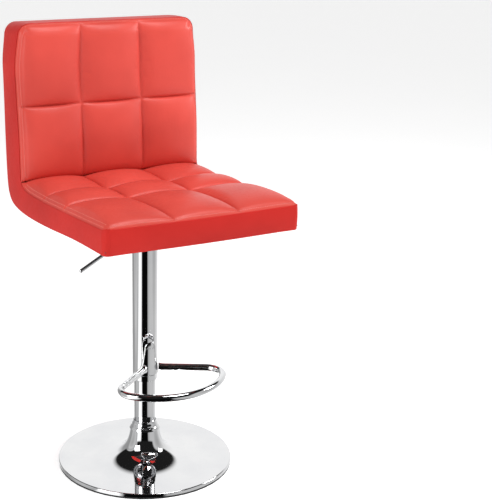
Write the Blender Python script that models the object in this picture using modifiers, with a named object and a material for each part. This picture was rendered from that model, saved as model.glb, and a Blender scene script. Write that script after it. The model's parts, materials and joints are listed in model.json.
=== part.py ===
"""Adjustable swivel bar stool: a padded L-shaped seat on a gas lift, with a hooped footrest.

Metres, +Z up, origin on the column's axis at the floor. The seat faces -Y and the release lever is at -X.
The stool is drawn at its lowest height.
"""
import math

import bmesh
import bpy
import numpy as np
from mathutils import Matrix, Vector

# ---- driving dimensions -------------------------------------------------------------------------
GAP = 0.0003                  # clearance left between touching pieces

BASE_RADIUS = 0.1925
BASE_STEEL = 0.0015           # wall of the spun base
RIM_BOTTOM_Z = 0.0038
RIM_TOP_Z = 0.0100
NECK_RADIUS = 0.0315          # outside of the base's neck
NECK_TOP_Z = 0.0800
FLARE_FLOOR_Z = 0.0080        # height that the flare runs out to
FLARE_POLE = 0.0229           # radius that the flare climbs towards

PIPE_RADIUS = 0.0240          # fixed lower tube
PIPE_WALL = 0.0015
PIPE_BOTTOM_Z = 0.0125
PIPE_TOP_Z = 0.4300
COVER_RADIUS = 0.0275         # chrome tube that travels with the seat
COVER_WALL = 0.0012
COVER_BOTTOM_Z = 0.1950

CYLINDER_RADIUS = 0.0140      # gas cylinder
CYLINDER_BOTTOM_Z = 0.1500
CYLINDER_TOP_Z = 0.5360
CHAMBER_RADIUS = 0.0125
CHAMBER_TOP_Z = 0.5000
ROD_RADIUS = 0.0050
ROD_SHOULDER_Z = 0.0260
ROD_SPIGOT_RADIUS = 0.0040
PISTON_Z = 0.4000

SADDLE_THICKNESS = 0.0034     # plate that carries the footrest
SADDLE_BOTTOM_Z = 0.2080
SADDLE_TOP_Z = 0.2870
FOOTREST_Z = 0.2262
FOOTREST_TUBE = 0.0080        # tube radius
FOOTREST_REACH = 0.1930       # column axis to the middle of the front run
FOOTREST_FRONT_RADIUS = 0.1425
FOOTREST_CORNER_RADIUS = 0.0375
FOOTREST_ARM_ANGLE = math.radians(34)
FOOTREST_TURN = math.radians(4)    # the hoop stands slightly askew of the seat

SEAT_WIDTH = 0.4300
FRONT_Y = -0.2610
REAR_Y = 0.2530
BACK_TOP_Z = 0.9550
RAKE = math.radians(3.3)      # the seat's underside drops towards the back
UNDERSIDE_Z = 0.5629          # underside on the column's axis
REAR_BEND = 0.0700            # radius of the bend from the seat to the back
SEAT_LINE_Z = 0.6153          # top of the side panels on the column's axis
SEAT_LINE_SLOPE = -0.035
BACK_LINE_Y = 0.1650          # front of the side panels where back meets seat
BACK_LINE_LEAN = 0.055
SEAT_CROWN = 0.0060           # how far the padding stands above the side panels
SPLIT_Y = 0.1570              # where the seat pad ends and the back pad begins

COVER_SHEET = 0.0015          # upholstery cover
BOARD_INSET = 0.0020          # outside of the plywood from the outside of the cover
BOARD_THICKNESS = 0.0120
PAD_INSET = 0.0158            # underside of the padding, clear of the tee nuts

PLATE_HALF = 0.1000           # seat plate's flange
PLATE_SHEET = 0.0025
TUB_HALF_X = 0.0600
TUB_HALF_Y = 0.0500
TUB_FLOOR_Z = 0.5260
BOLT_SPACING = 0.0800         # from the axis, both ways
BOLT_RADIUS = 0.0030

LEVER_AZIMUTH = math.radians(207.3)
LEVER_PIVOT_REACH = 0.0300
LEVER_Z = 0.5465
LEVER_RADIUS = 0.0040
PIN_RADIUS = 0.0020
BUTTON_RADIUS = 0.0035

FINE, COARSE = 48, 24         # sides of large and small round pieces

for old in list(bpy.data.objects):
    bpy.data.objects.remove(old, do_unlink=True)

scene_root = bpy.context.scene.collection
parts = bpy.data.collections.new("bar_stool")
cutters = bpy.data.collections.new("cutters")
scene_root.children.link(parts)
scene_root.children.link(cutters)


# ---- materials ----------------------------------------------------------------------------------
def finish(name, colour, roughness, metallic):
    made = bpy.data.materials.new(name)
    made.use_nodes = True
    shader = made.node_tree.nodes["Principled BSDF"]
    shader.inputs["Base Color"].default_value = (*colour, 1.0)
    shader.inputs["Roughness"].default_value = roughness
    shader.inputs["Metallic"].default_value = metallic
    made.diffuse_color = (*colour, 1.0)
    return made


CHROME = ((0.80, 0.80, 0.81), 0.06, 1.0)
STEEL = ((0.45, 0.46, 0.48), 0.32, 1.0)
BLACK_PAINT = ((0.025, 0.025, 0.027), 0.45, 0.0)
RED_COVER = ((0.62, 0.035, 0.030), 0.38, 0.0)
FOAM = ((0.86, 0.80, 0.62), 0.95, 0.0)
PLYWOOD = ((0.62, 0.45, 0.27), 0.70, 0.0)
NYLON = ((0.80, 0.80, 0.76), 0.50, 0.0)
RUBBER = ((0.02, 0.02, 0.02), 0.80, 0.0)
CAST_IRON = ((0.10, 0.10, 0.105), 0.65, 1.0)
BLACK_CLOTH = ((0.03, 0.03, 0.03), 0.90, 0.0)


# ---- shapes -------------------------------------------------------------------------------------
def place(name, data, look=None, location=(0, 0, 0), rotation=(0, 0, 0), parent=None):
    """Adds an object to the stool, or to the cutters where it has no look of its own."""
    piece = bpy.data.objects.new(name, data)
    piece.location = location
    piece.rotation_euler = rotation
    piece.parent = parent
    if look is None:
        piece.hide_render = True
        piece.display_type = "WIRE"
        cutters.objects.link(piece)
    else:
        data.materials.append(finish(name + "_finish", *look))
        parts.objects.link(piece)
    return piece


def smooth_round(data):
    data.shade_smooth()
    data.set_sharp_from_angle(angle=math.radians(35))


def box(name, low, high, look=None, **where):
    low, high = Vector(low), Vector(high)
    shape = bmesh.new()
    bmesh.ops.create_cube(shape, size=1.0)
    bmesh.ops.scale(shape, vec=high - low, verts=shape.verts)
    bmesh.ops.translate(shape, vec=(low + high) / 2, verts=shape.verts)
    data = bpy.data.meshes.new(name)
    shape.to_mesh(data)
    shape.free()
    return place(name, data, look, **where)


def rod(name, radius, low_z, high_z, look=None, sides=COARSE, turn=Matrix(), **where):
    """A plain cylinder between two heights, on its own Z axis unless it is turned."""
    shape = bmesh.new()
    bmesh.ops.create_cone(
        shape, cap_ends=True, segments=sides, radius1=radius, radius2=radius, depth=high_z - low_z
    )
    bmesh.ops.translate(shape, vec=(0, 0, (low_z + high_z) / 2), verts=shape.verts)
    bmesh.ops.transform(shape, matrix=turn, verts=shape.verts)
    data = bpy.data.meshes.new(name)
    shape.to_mesh(data)
    shape.free()
    smooth_round(data)
    return place(name, data, look, **where)


def turned(name, profile, look=None, steps=FINE, **where):
    """A solid of revolution. The profile is a closed loop of (radius, height), down its outer side first."""
    data = bpy.data.meshes.new(name)
    points = [(radius, 0.0, height) for radius, height in profile]
    on_axis = profile[0][0] == 0.0 and profile[-1][0] == 0.0
    count = len(points)
    loop = [(i, i + 1) for i in range(count - 1)]
    if not on_axis:
        loop.append((count - 1, 0))
    data.from_pydata(points, loop, [])
    piece = place(name, data, look, **where)
    spin = piece.modifiers.new("spin", "SCREW")
    spin.axis = "Z"
    spin.angle = 2 * math.pi
    spin.steps = steps
    spin.render_steps = steps
    spin.use_merge_vertices = True
    spin.merge_threshold = 0.00001
    spin.use_smooth_shade = True
    return piece


def ring(name, inner, outer, low_z, high_z, look=None, steps=FINE, **where):
    corners = [(outer, high_z), (outer, low_z), (inner, low_z), (inner, high_z)]
    return turned(name, corners, look, steps, **where)


def to_mesh(piece):
    """Swaps a curve object for the mesh it draws, with its caps welded on."""
    evaluated = piece.evaluated_get(bpy.context.evaluated_depsgraph_get())
    data = bpy.data.meshes.new_from_object(evaluated)
    shape = bmesh.new()
    shape.from_mesh(data)
    bmesh.ops.remove_doubles(shape, verts=shape.verts, dist=0.00001)
    shape.to_mesh(data)
    shape.free()
    name, home, look = piece.name, piece.users_collection[0], piece.hide_render
    placed = piece.matrix_world.copy()
    parent = piece.parent
    bpy.data.objects.remove(piece, do_unlink=True)
    made = bpy.data.objects.new(name, data)
    made.hide_render = look
    made.display_type = "WIRE" if look else "TEXTURED"
    home.objects.link(made)
    made.parent = parent
    made.matrix_world = placed
    return made


def slab(name, outline, half_thickness, look=None, **where):
    """A flat outline in the curve's own XY plane, given thickness both ways along its Z."""
    data = bpy.data.curves.new(name, "CURVE")
    data.dimensions = "2D"
    data.fill_mode = "BOTH"
    data.extrude = half_thickness
    spline = data.splines.new("POLY")
    spline.points.add(len(outline) - 1)
    for point, (across, up) in zip(spline.points, outline):
        point.co = (across, up, 0.0, 1.0)
    spline.use_cyclic_u = True
    return place(name, data, look, **where)


def side_slab(name, outline, x, half_thickness, look=None):
    """An outline drawn in the stool's side view, as (y, z) pairs, and given thickness along X."""
    upright = (math.pi / 2, 0, math.pi / 2)
    return slab(name, outline, half_thickness, look, location=(x, 0, 0), rotation=upright)


def bar(name, path, radius, look=None, resolution=2, **where):
    """A round bar along a list of points, with flat ends."""
    data = bpy.data.curves.new(name, "CURVE")
    data.dimensions = "3D"
    data.bevel_depth = radius
    data.bevel_resolution = resolution
    data.use_fill_caps = True
    spline = data.splines.new("POLY")
    spline.points.add(len(path) - 1)
    for point, place_on_path in zip(spline.points, path):
        point.co = (*place_on_path, 1.0)
    return place(name, data, look, **where)


def cut(piece, tool, operation="DIFFERENCE"):
    step = piece.modifiers.new(tool.name, "BOOLEAN")
    step.operation = operation
    step.solver = "EXACT"
    step.object = tool


def arc(centre, radius, start, end, count):
    """Points on a circle between two angles, in order."""
    angles = np.linspace(start, end, count)
    return [(centre[0] + radius * math.cos(a), centre[1] + radius * math.sin(a)) for a in angles]


def rounded_path(corners, radius, count=6):
    """A polyline whose inner corners are replaced by arcs of one radius."""
    corners = [np.array(corner, dtype=float) for corner in corners]
    path = [corners[0]]
    for before, corner, after in zip(corners, corners[1:], corners[2:]):
        back = (before - corner) / np.linalg.norm(before - corner)
        ahead = (after - corner) / np.linalg.norm(after - corner)
        half_angle = math.acos(float(back @ ahead)) / 2
        run = radius / math.tan(half_angle)
        middle = corner + (back + ahead) / np.linalg.norm(back + ahead) * radius / math.sin(half_angle)
        first, last = corner + back * run - middle, corner + ahead * run - middle
        sweep = math.pi - 2 * half_angle
        for share in np.linspace(0, 1, count):
            blend = math.sin((1 - share) * sweep) * first + math.sin(share * sweep) * last
            path.append(middle + blend / math.sin(sweep))
    path.append(corners[-1])
    return [tuple(point) for point in path]


# ---- base ---------------------------------------------------------------------------------------
def flare_height(radius):
    """The base's upper surface: a hyperbola that rises from the rim to the neck."""
    climb = (NECK_TOP_Z - FLARE_FLOOR_Z) * (NECK_RADIUS - FLARE_POLE)
    return FLARE_FLOOR_Z + climb / (radius - FLARE_POLE)


def build_base():
    rim_round = 0.0020
    flare_edge = BASE_RADIUS - rim_round
    spread = np.linspace(0, 1, 13)
    radii = NECK_RADIUS + (flare_edge - NECK_RADIUS) * spread**2.2
    top = [(radius, flare_height(radius)) for radius in radii]
    slope = [(NECK_TOP_Z - FLARE_FLOOR_Z) * (NECK_RADIUS - FLARE_POLE) / (r - FLARE_POLE) ** 2 for r in radii]
    under = [
        (r - BASE_STEEL * s / math.hypot(1, s), z - BASE_STEEL / math.hypot(1, s))
        for (r, z), s in zip(top, slope)
    ]
    rim = [(BASE_RADIUS - 0.0005, RIM_TOP_Z + 0.0006), (BASE_RADIUS, RIM_TOP_Z - 0.0010)]
    lip = [(BASE_RADIUS, RIM_BOTTOM_Z), (BASE_RADIUS - BASE_STEEL, RIM_BOTTOM_Z)]
    inner_rim = [(BASE_RADIUS - BASE_STEEL, under[-1][1] - 0.0016)]
    under[0] = (NECK_RADIUS - BASE_STEEL, NECK_TOP_Z)
    turned("base_shell", top + rim + lip + inner_rim + under[::-1], CHROME)

    hub_outer = NECK_RADIUS - BASE_STEEL - GAP
    ring("base_hub", PIPE_RADIUS + GAP, hub_outer, 0.0130, NECK_TOP_Z - GAP, STEEL, COARSE * 2)
    ring("base_weight", hub_outer + 0.004, 0.1650, 0.0045, 0.0105, CAST_IRON)
    ring("floor_ring", 0.1800, BASE_RADIUS - GAP, 0.0, RIM_BOTTOM_Z - GAP, RUBBER)

    seat_z = NECK_TOP_Z + GAP
    lip = NECK_RADIUS + 3 * GAP
    collar = [
        (0.0258, 0.0968), (0.0272, 0.0962), (0.0296, 0.0925), (0.0318, 0.0875), (0.0338, 0.0820),
        (0.0342, 0.0800), (0.0340, 0.0776), (lip, 0.0776), (lip, seat_z),
        (PIPE_RADIUS + GAP, seat_z + 0.0025), (PIPE_RADIUS + GAP, 0.0968),
    ]
    turned("base_collar", collar, CHROME)


# ---- column -------------------------------------------------------------------------------------
def build_standpipe():
    bore = PIPE_RADIUS - PIPE_WALL
    floor_top = PIPE_BOTTOM_Z + 0.0032
    rod_hole = ROD_SPIGOT_RADIUS + 0.0005
    pipe = [
        (PIPE_RADIUS, PIPE_TOP_Z), (PIPE_RADIUS, PIPE_BOTTOM_Z), (rod_hole, PIPE_BOTTOM_Z),
        (rod_hole, floor_top), (bore, floor_top), (bore, PIPE_TOP_Z),
    ]
    turned("standpipe", pipe, CHROME)

    sliding_bore = CYLINDER_RADIUS + GAP
    bush = [
        (PIPE_RADIUS - 0.0002, PIPE_TOP_Z + 0.0040), (PIPE_RADIUS - 0.0002, PIPE_TOP_Z + GAP),
        (bore - GAP, PIPE_TOP_Z + GAP), (bore - GAP, 0.3580), (sliding_bore, 0.3580),
        (sliding_bore, PIPE_TOP_Z + 0.0040),
    ]
    turned("guide_bush", bush, NYLON)
    ring("bearing_lower_race", rod_hole, 0.0130, floor_top + GAP, 0.0182, STEEL, COARSE)


def build_spindle():
    """The piston rod hangs in a ball thrust bearing and turns with the seat."""
    neck_z = PISTON_Z + GAP
    shaft = [
        (0.0, 0.4180), (ROD_SPIGOT_RADIUS, 0.4180), (ROD_SPIGOT_RADIUS, PISTON_Z), (ROD_RADIUS, PISTON_Z),
        (ROD_RADIUS, ROD_SHOULDER_Z), (ROD_SPIGOT_RADIUS, ROD_SHOULDER_Z),
        (ROD_SPIGOT_RADIUS, 0.0095), (0.0, 0.0095),
    ]
    turned("piston_rod", shaft, STEEL, COARSE)
    ring("piston", ROD_SPIGOT_RADIUS + GAP, 0.0120, neck_z, neck_z + 0.0140, BLACK_PAINT, COARSE)
    race_top = ROD_SHOULDER_Z - GAP
    ring("bearing_upper_race", ROD_SPIGOT_RADIUS + GAP, 0.0130, race_top - 0.0022, race_top, STEEL, COARSE)
    ring("rod_clip", ROD_SPIGOT_RADIUS + GAP, 0.0090, 0.0104, PIPE_BOTTOM_Z - GAP, STEEL, COARSE)

    cage_low, cage_high = 0.0185, 0.0232
    middle = (cage_low + cage_high) / 2
    cage_bore, cage_radius, cage_half = ROD_SPIGOT_RADIUS + 0.0010, 0.0122, 0.0010
    cage = ring("ball_cage", cage_bore, cage_radius, middle - cage_half, middle + cage_half, STEEL, COARSE)
    balls = 8
    for number in range(balls):
        around = 2 * math.pi * number / balls
        shape = bmesh.new()
        bmesh.ops.create_uvsphere(shape, u_segments=10, v_segments=7, radius=(cage_high - cage_low) / 2)
        data = bpy.data.meshes.new("ball")
        shape.to_mesh(data)
        shape.free()
        seat = (0.0087 * math.cos(around), 0.0087 * math.sin(around), middle)
        cut(cage, place(f"ball_{number + 1}", data, location=seat), "UNION")


def build_gas_cylinder():
    pocket_radius = BUTTON_RADIUS + GAP
    pocket_floor = 0.5220
    chamfer = 0.0015
    wall = [
        (0.0, CYLINDER_TOP_Z), (CYLINDER_RADIUS - chamfer, CYLINDER_TOP_Z),
        (CYLINDER_RADIUS, CYLINDER_TOP_Z - chamfer), (CYLINDER_RADIUS, CYLINDER_BOTTOM_Z),
        (CHAMBER_RADIUS, CYLINDER_BOTTOM_Z), (CHAMBER_RADIUS, CHAMBER_TOP_Z), (0.0, CHAMBER_TOP_Z),
    ]
    body = turned("gas_cylinder", wall, BLACK_PAINT, COARSE * 2)
    cut(body, rod("button_pocket", pocket_radius, pocket_floor, CYLINDER_TOP_Z + 0.002))
    low = CYLINDER_BOTTOM_Z + 0.0020
    high = low + 0.0200
    ring("cylinder_gland", ROD_RADIUS + GAP, CHAMBER_RADIUS - GAP, low, high, BLACK_PAINT, COARSE)


def build_cover_tube():
    bore = COVER_RADIUS - COVER_WALL
    ring("cover_tube", bore, COVER_RADIUS, COVER_BOTTOM_Z, TUB_FLOOR_Z - 2 * GAP, CHROME)
    ring("cover_bush", PIPE_RADIUS + GAP, bore - GAP, COVER_BOTTOM_Z + 0.0020, COVER_BOTTOM_Z + 0.0220, NYLON)


# ---- footrest -----------------------------------------------------------------------------------
def footrest_path():
    """The hoop's right half: a straight arm, a corner and a broad front curve, each tangent to the next."""
    start = np.array([0.0150, -0.0240])
    ahead = np.array([math.cos(FOOTREST_ARM_ANGLE), -math.sin(FOOTREST_ARM_ANGLE)])
    inward = np.array([-math.sin(FOOTREST_ARM_ANGLE), -math.cos(FOOTREST_ARM_ANGLE)])
    front_centre = np.array([0.0, -(FOOTREST_REACH - FOOTREST_FRONT_RADIUS)])
    corner_radius = FOOTREST_CORNER_RADIUS
    from_front = start + inward * corner_radius - front_centre
    along = float(from_front @ ahead)
    reach = FOOTREST_FRONT_RADIUS - corner_radius
    run = -along + math.sqrt(along**2 - float(from_front @ from_front) + reach**2)
    corner = start + ahead * run + inward * corner_radius
    spoke = corner - front_centre
    leave = math.atan2(*(-inward)[::-1])
    meet = math.atan2(spoke[1], spoke[0])
    path = [tuple(start), tuple(start + ahead * run * 0.5)]
    path += arc(corner, corner_radius, leave, meet, 9)
    path += arc(front_centre, FOOTREST_FRONT_RADIUS, meet, -math.pi / 2, 9)[1:]
    return path


def build_footrest():
    plate_inner = COVER_RADIUS + GAP
    plate_outer = plate_inner + SADDLE_THICKNESS
    low, high = SADDLE_BOTTOM_Z, SADDLE_TOP_Z
    saddle = ring("footrest_saddle", plate_inner, plate_outer, low - 0.01, high + 0.01, CHROME)
    wide, narrow = 0.0290, 0.0130
    right = [(wide, low + 0.004), (wide, low + 0.030), (0.0215, low + 0.046), (0.0160, low + 0.060)]
    tip = arc((0.0, high - narrow), narrow, 0.0, math.pi / 2, 5)
    right = [(wide - 0.004, low)] + right + tip
    outline = right + [(-x, z) for x, z in right[-2::-1]]
    window = slab(
        "saddle_outline", outline, 0.025, location=(0, -0.0250, 0), rotation=(math.pi / 2, 0, 0)
    )
    cut(saddle, to_mesh(window), "INTERSECT")

    right_half = footrest_path()
    left_half = [(-x, y) for x, y in right_half[-2::-1]]
    path = [(x, y, FOOTREST_Z) for x, y in right_half + left_half]
    turn = (0, 0, FOOTREST_TURN)
    hoop = to_mesh(bar("footrest_loop", path, FOOTREST_TUBE, CHROME, resolution=3, rotation=turn))
    smooth_round(hoop.data)
    cope = rod("hoop_cope", plate_outer + GAP, SADDLE_BOTTOM_Z, SADDLE_TOP_Z, sides=FINE)
    cut(hoop, cope)


# ---- seat plate, lever and fasteners ------------------------------------------------------------
def build_seat_plate(tilt):
    """A pressed plate: a flange bolted to the seat, and a square tub that holds the lift and lever."""
    low = (-TUB_HALF_X, -TUB_HALF_Y, TUB_FLOOR_Z)
    high = (TUB_HALF_X, TUB_HALF_Y, UNDERSIDE_Z + 0.006)
    plate = box("seat_plate", low, high, BLACK_PAINT)
    top = -GAP
    flange = box(
        "flange", (-PLATE_HALF, -PLATE_HALF, top - PLATE_SHEET), (PLATE_HALF, PLATE_HALF, top), parent=tilt
    )
    above = box("above_flange", (-0.09, -0.09, top), (0.09, 0.09, 0.03), parent=tilt)
    wall = PLATE_SHEET
    hollow = box(
        "tub_hollow",
        (-TUB_HALF_X + wall, -TUB_HALF_Y + wall, TUB_FLOOR_Z + wall),
        (TUB_HALF_X - wall, TUB_HALF_Y - wall, 0.60),
    )
    slot_y = -0.0303
    slot = box("lever_slot", (-0.070, slot_y - 0.0075, 0.5405), (-0.050, slot_y + 0.0075, 0.5580))
    cut(plate, flange, "UNION")
    cut(plate, above)
    cut(plate, hollow)
    cut(plate, slot)
    cut(plate, rod("lift_hole", CYLINDER_RADIUS + 2 * GAP, 0.50, 0.54, sides=FINE))
    for number, (x, y) in enumerate(bolt_places(), start=1):
        where = {"location": (x, y, 0), "parent": tilt}
        cut(plate, rod(f"plate_hole_{number}", BOLT_RADIUS + GAP, -0.01, 0.01, **where))
    ring("cylinder_socket", CYLINDER_RADIUS + GAP, 0.0185, 0.4980, TUB_FLOOR_Z - GAP, STEEL)


def bolt_places():
    return [(x * BOLT_SPACING, y * BOLT_SPACING) for x in (-1, 1) for y in (-1, 1)]


def build_fasteners(tilt):
    """Four bolts with washers, each screwed into a tee nut that is knocked into the plywood."""
    flange_bottom = -GAP - PLATE_SHEET
    washer_bore, washer_radius = BOLT_RADIUS + GAP, 0.0070
    washer_top = flange_bottom - GAP
    washer_bottom = washer_top - 0.0012
    head_top = washer_bottom - GAP
    nut_flange = BOARD_INSET + BOARD_THICKNESS + GAP
    for number, (x, y) in enumerate(bolt_places(), start=1):
        where = {"location": (x, y, 0), "parent": tilt}
        head = [
            (0.0, 0.0125), (BOLT_RADIUS, 0.0125), (BOLT_RADIUS, head_top), (0.0058, head_top),
            (0.0058, head_top - 0.0030), (0.0045, head_top - 0.0040), (0.0, head_top - 0.0040),
        ]
        turned(f"seat_bolt_{number}", head, STEEL, 18, **where)
        name = f"bolt_washer_{number}"
        ring(name, washer_bore, washer_radius, washer_bottom, washer_top, STEEL, 18, **where)
        tee = [
            (0.0095, nut_flange + 0.0012), (0.0095, nut_flange), (0.0041, nut_flange), (0.0041, 0.0045),
            (BOLT_RADIUS + GAP, 0.0045), (BOLT_RADIUS + GAP, nut_flange + 0.0012),
        ]
        turned(f"tee_nut_{number}", tee, STEEL, 18, **where)


def build_lever(pivot):
    """The lever rocks on a pin: its outer end is pulled up and its inner end presses the button."""
    floor_z = TUB_FLOOR_Z + PLATE_SHEET + GAP - LEVER_Z
    ear_gap = LEVER_RADIUS + 0.0008
    ear = 0.0020
    half_length, half_depth, ear_top = 0.0090, ear_gap + ear, 0.0062
    low, high = (-half_length, -half_depth, floor_z), (half_length, half_depth, ear_top)
    bracket = box("lever_bracket", low, high, STEEL, parent=pivot)
    between = box("between_ears", (-0.02, -ear_gap, floor_z + ear), (0.02, ear_gap, 0.02), parent=pivot)
    across = Matrix.Rotation(math.pi / 2, 4, "X")
    pin_hole = rod("pin_hole", PIN_RADIUS + GAP, -0.02, 0.02, turn=across, parent=pivot)
    cut(bracket, between)
    cut(bracket, pin_hole)
    pin_half = ear_gap + ear + 0.0012
    rod("lever_pivot_pin", PIN_RADIUS, -pin_half, pin_half, STEEL, 18, across, parent=pivot)

    inner = -LEVER_PIVOT_REACH - 0.0080
    bends = [(inner, 0, 0), (0.0400, 0, 0), (0.0980, 0, -0.0320), (0.1880, 0, -0.0510)]
    path = rounded_path(bends, 0.040)
    lever = to_mesh(bar("lever_rod", path, LEVER_RADIUS, CHROME, resolution=4, parent=pivot))
    smooth_round(lever.data)
    cut(lever, pin_hole)


def build_button():
    rod("valve_button", BUTTON_RADIUS, 0.5265, LEVER_Z - LEVER_RADIUS - GAP, STEEL, 18)


# ---- seat and back ------------------------------------------------------------------------------
def underside_z(y, inset=0.0):
    """Height of the seat's underside, moved into the seat by an inset."""
    return UNDERSIDE_Z - math.tan(RAKE) * y + inset / math.cos(RAKE)


def seat_line(y, rise=0.0):
    return SEAT_LINE_Z + SEAT_LINE_SLOPE * y + rise


def back_line(z, rise=0.0):
    return BACK_LINE_Y + BACK_LINE_LEAN * (z - seat_line(BACK_LINE_Y)) - rise


def outer_run(inset, start_y, end_z, count=10):
    """The outer side outline from a point under the seat, round the rear bend and up the back."""
    centre = (REAR_Y - REAR_BEND, underside_z(REAR_Y - REAR_BEND) + REAR_BEND / math.cos(RAKE))
    bend = arc(centre, REAR_BEND - inset, -math.pi / 2 - RAKE, 0.0, count)
    return [(start_y, underside_z(start_y, inset))] + bend + [(REAR_Y - inset, end_z)]


def strip(inset, thickness, start_y, end_z):
    """A sheet that follows the outer outline at an inset."""
    return outer_run(inset, start_y, end_z) + outer_run(inset + thickness, start_y, end_z)[::-1]


def build_board(tilt):
    """The moulded plywood L that everything is upholstered on."""
    half = SEAT_WIDTH / 2 - COVER_SHEET - GAP
    outline = strip(BOARD_INSET, BOARD_THICKNESS, FRONT_Y + 0.0040, BACK_TOP_Z - 0.0080)
    board = to_mesh(side_slab("plywood_shell", outline, 0.0, half, PLYWOOD))
    for number, (x, y) in enumerate(bolt_places(), start=1):
        cut(board, rod(f"board_hole_{number}", 0.0044, -0.002, 0.030, location=(x, y, 0), parent=tilt))


def build_padding():
    half = SEAT_WIDTH / 2 - COVER_SHEET - GAP
    skin = COVER_SHEET + GAP
    front = FRONT_Y + skin
    seat = [
        (front, underside_z(front, PAD_INSET)), (SPLIT_Y, underside_z(SPLIT_Y, PAD_INSET)),
        (SPLIT_Y, seat_line(SPLIT_Y, SEAT_CROWN - skin)),
        (front + 0.012, seat_line(front, SEAT_CROWN - skin)),
        (front, seat_line(front, SEAT_CROWN - skin - 0.010)),
    ]
    side_slab("seat_foam", seat, 0.0, half, FOAM)

    top = BACK_TOP_Z - skin
    start = SPLIT_Y + GAP
    rear = outer_run(PAD_INSET, start, top)
    turn_z = seat_line(SPLIT_Y) + 0.020
    face = [
        (back_line(top, SEAT_CROWN - skin) + 0.008, top), (back_line(top, SEAT_CROWN - skin), top - 0.010),
        (max(back_line(turn_z, SEAT_CROWN - skin), start), turn_z),
    ]
    side_slab("back_foam", rear + face, 0.0, half, FOAM)


def build_covers(tilt):
    half = SEAT_WIDTH / 2
    inner_half = half - COVER_SHEET - GAP
    sheet = COVER_SHEET

    rise = SEAT_CROWN - sheet
    crease = SPLIT_Y - 0.0030
    front_in = FRONT_Y + sheet
    seat_outside = [
        (crease, seat_line(crease, rise + sheet)), (FRONT_Y + 0.012, seat_line(FRONT_Y, rise + sheet)),
        (FRONT_Y, seat_line(FRONT_Y, rise + sheet - 0.010)), (FRONT_Y, underside_z(FRONT_Y)),
    ]
    seat_inside = [
        (front_in, underside_z(front_in)), (front_in, seat_line(FRONT_Y, rise - 0.009)),
        (front_in + 0.0115, seat_line(FRONT_Y, rise)), (crease, seat_line(crease, rise)),
    ]
    side_slab("seat_cover", seat_outside + seat_inside, 0.0, inner_half, RED_COVER)

    low = seat_line(crease, SEAT_CROWN) + 0.0010
    high = BACK_TOP_Z
    rear = REAR_Y - sheet - GAP
    knee = low + 0.016
    back_outside = [
        (rear, high), (back_line(high, SEAT_CROWN) + 0.008, high),
        (back_line(high, SEAT_CROWN), high - 0.010),
        (back_line(knee, SEAT_CROWN), knee), (back_line(knee, SEAT_CROWN) - 0.001, low),
    ]
    back_inside = [(y + sheet, z) for y, z in back_outside[:1:-1]]
    back_inside += [(back_outside[1][0] + 0.0005, high - sheet), (rear, high - sheet)]
    side_slab("back_cover", back_outside + back_inside, 0.0, inner_half, RED_COVER)

    rear_start = 0.1300
    side_slab("rear_cover", strip(0.0, sheet, rear_start, high), 0.0, inner_half, RED_COVER)
    dust = [
        (front_in + GAP, underside_z(front_in, 0.0004)), (rear_start - GAP, underside_z(rear_start, 0.0004)),
        (rear_start - GAP, underside_z(rear_start, 0.0014)), (front_in + GAP, underside_z(front_in, 0.0014)),
    ]
    lining = to_mesh(side_slab("underside_cover", dust, 0.0, inner_half, BLACK_CLOTH))
    for number, (x, y) in enumerate(bolt_places(), start=1):
        cut(lining, rod(f"lining_hole_{number}", 0.0044, -0.002, 0.030, location=(x, y, 0), parent=tilt))

    corner = 0.0120
    crease_z = seat_line(BACK_LINE_Y)
    panel = outer_run(0.0, FRONT_Y, high - 0.012)[:-1] + [(REAR_Y, high - 0.006), (REAR_Y - 0.006, high)]
    panel += [(back_line(high) + 0.004, high), (back_line(high), high - 0.004)]
    panel += [(back_line(crease_z + corner), crease_z + corner)]
    fold = arc((BACK_LINE_Y - corner, crease_z + corner), corner, -0.3, -math.pi / 2, 4)
    panel += fold + [(FRONT_Y, seat_line(FRONT_Y))]
    for side, name in ((-1, "side_cover_left"), (1, "side_cover_right")):
        side_slab(name, panel, side * (half - sheet / 2), sheet / 2, RED_COVER)


# ---- assembly -----------------------------------------------------------------------------------
tilt_frame = bpy.data.objects.new("seat_tilt", None)
tilt_frame.location = (0, 0, UNDERSIDE_Z)
tilt_frame.rotation_euler = (-RAKE, 0, 0)
parts.objects.link(tilt_frame)

lever_pivot = bpy.data.objects.new("lever_pivot", None)
lever_pivot.location = (
    LEVER_PIVOT_REACH * math.cos(LEVER_AZIMUTH), LEVER_PIVOT_REACH * math.sin(LEVER_AZIMUTH), LEVER_Z
)
lever_pivot.rotation_euler = (0, 0, LEVER_AZIMUTH)
parts.objects.link(lever_pivot)
bpy.context.view_layer.update()

build_base()
build_standpipe()
build_spindle()
build_gas_cylinder()
build_cover_tube()
build_footrest()
build_seat_plate(tilt_frame)
build_fasteners(tilt_frame)
build_lever(lever_pivot)
build_button()
build_board(tilt_frame)
build_padding()
build_covers(tilt_frame)
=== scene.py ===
import json
import math

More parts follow.
